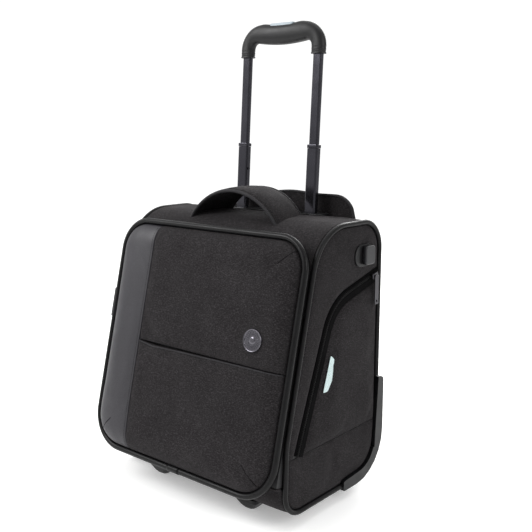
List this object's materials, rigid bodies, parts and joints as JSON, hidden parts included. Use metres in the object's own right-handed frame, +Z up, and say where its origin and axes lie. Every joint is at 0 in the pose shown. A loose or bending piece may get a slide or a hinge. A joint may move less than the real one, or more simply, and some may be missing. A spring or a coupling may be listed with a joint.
{
  "type": "pilot rolling flight case",
  "caption": "Soft-sided wheeled pilot case with a padded front door, side pockets, two wheels, front feet and a two-stage telescopic handle.",
  "frame": {"origin": "on the floor, at the centre of the bounding box's base", "axes": "+Z up, +X to the right side of the case as seen from its front, +Y from the front door to the back"},
  "size_m": [0.4244, 0.2998, 0.7637],
  "materials": {
    "fabric": "heather woven polyester",
    "smooth_fabric": "smooth coated nylon",
    "piping": "coated piping and coil zip tape",
    "board": "fluted plastic sheet",
    "lining": "lining over board",
    "plastic": "fine textured",
    "grey_plastic": "satin",
    "tube_paint": "black anodised",
    "steel": "plain",
    "dark_chrome": "gunmetal plating",
    "rubber": "matte",
    "tag_cloth": "woven satin tag"
  },
  "bodies": {
    "case": {"top_panel": "fabric", "back_panel": "fabric", "bottom_panel": "fabric", "front_frame": "board", "door_zip": "piping", "handle_well": "plastic", "tube_foot": "plastic", "tube_cover": "lining", "carry_handle": "fabric", "usb_port": "plastic", "usb_socket": "steel", "side_tag": "tag_cloth", "side_board_right": "board", "upper_side_skin_right": "fabric", "lower_side_skin_right": "fabric", "pocket_skin_right": "fabric", "pocket_zip_tape_right": "piping", "side_piping_right": "piping", "wheel_guard_right": "plastic", "axle_right": "steel", "front_foot_right": "plastic", "guide_tube_right": "steel", "side_board_left": "board", "upper_side_skin_left": "fabric", "lower_side_skin_left": "fabric", "pocket_skin_left": "fabric", "pocket_zip_tape_left": "piping", "side_piping_left": "piping", "wheel_guard_left": "plastic", "axle_left": "steel", "front_foot_left": "plastic", "guide_tube_left": "steel"},
    "door": {"door_board": "board", "door_piping": "piping", "door_strip": "smooth_fabric", "door_upper_skin": "fabric", "door_lower_skin": "fabric", "badge": "dark_chrome"},
    "lower_stage": {"lower_tube_right": "tube_paint", "lower_tube_left": "tube_paint", "collar_right": "plastic", "collar_left": "plastic"},
    "upper_stage": {"upper_tube_right": "tube_paint", "upper_tube_left": "tube_paint", "grip": "plastic"},
    "release_button": {"release_button": "grey_plastic", "release_rod_right": "steel", "release_rod_left": "steel"},
    "handle_flap": {"handle_flap": "fabric"},
    "usb_cap": {"usb_cap": "grey_plastic"},
    "door_slider": {"door_slider": "dark_chrome"},
    "door_pull": {"door_pull": "dark_chrome"},
    "wheel_right": {"tyre_right": "rubber", "hub_right": "grey_plastic"},
    "pocket_slider_right": {"pocket_slider_right": "dark_chrome"},
    "pocket_pull_right": {"pocket_pull_right": "dark_chrome"},
    "wheel_left": {"tyre_left": "rubber", "hub_left": "grey_plastic"},
    "pocket_slider_left": {"pocket_slider_left": "dark_chrome"},
    "pocket_pull_left": {"pocket_pull_left": "dark_chrome"}
  },
  "joints": [
    {"name": "lower_stage_slide", "type": "slide", "parent": "case", "child": "lower_stage", "axis": [0, 0.0653, 0.9979], "range_m": [-0.1, 0.15]},
    {"name": "upper_stage_slide", "type": "slide", "parent": "lower_stage", "child": "upper_stage", "axis": [0, 0.0653, 0.9979], "range_m": [-0.144, 0]},
    {"name": "release_button_slide", "type": "slide", "parent": "upper_stage", "child": "release_button", "axis": [0, -0.0653, -0.9979], "range_m": [0, 0.004], "stiffness_N_per_m": 400, "springref_m": -0.004},
    {"name": "door_hinge", "type": "hinge", "parent": "case", "child": "door", "pos_m": [0, -0.13346, 0.05018], "axis": [1, 0, 0], "range_deg": [0, 95]},
    {"name": "handle_flap_hinge", "type": "hinge", "parent": "case", "child": "handle_flap", "pos_m": [0, 0.13687, 0.4235], "axis": [-1, 0, 0], "range_deg": [-3, 150]},
    {"name": "usb_cap_hinge", "type": "hinge", "parent": "case", "child": "usb_cap", "pos_m": [0.2049, 0.10237, 0.395], "axis": [0, 0, 1], "range_deg": [0, 85]},
    {"name": "door_slider_slide", "type": "slide", "parent": "case", "child": "door_slider", "axis": [0, -0.2381, -0.9713], "range_m": [0, 0.18]},
    {"name": "door_pull_hinge", "type": "hinge", "parent": "door_slider", "child": "door_pull", "pos_m": [-0.2115, -0.06932, 0.31143], "axis": [0, 0.9713, -0.2381], "range_deg": [0, 95]},
    {"name": "wheel_right_spin", "type": "hinge", "parent": "case", "child": "wheel_right", "pos_m": [0.1562, 0.09638, 0.0275], "axis": [1, 0, 0], "continuous": true},
    {"name": "pocket_slider_right_slide", "type": "slide", "parent": "case", "child": "pocket_slider_right", "axis": [0, -0.9673, -0.2534], "range_m": [0, 0.07]},
    {"name": "pocket_pull_right_hinge", "type": "hinge", "parent": "pocket_slider_right", "child": "pocket_pull_right", "pos_m": [0.2075, 0.11388, 0.35863], "axis": [0, -1, 0], "range_deg": [0, 95]},
    {"name": "wheel_left_spin", "type": "hinge", "parent": "case", "child": "wheel_left", "pos_m": [-0.1562, 0.09638, 0.0275], "axis": [1, 0, 0], "continuous": true},
    {"name": "pocket_slider_left_slide", "type": "slide", "parent": "case", "child": "pocket_slider_left", "axis": [0, -0.9673, -0.2534], "range_m": [0, 0.07]},
    {"name": "pocket_pull_left_hinge", "type": "hinge", "parent": "pocket_slider_left", "child": "pocket_pull_left", "pos_m": [-0.2075, 0.11388, 0.35863], "axis": [0, 1, 0], "range_deg": [0, 95]}
  ]
}
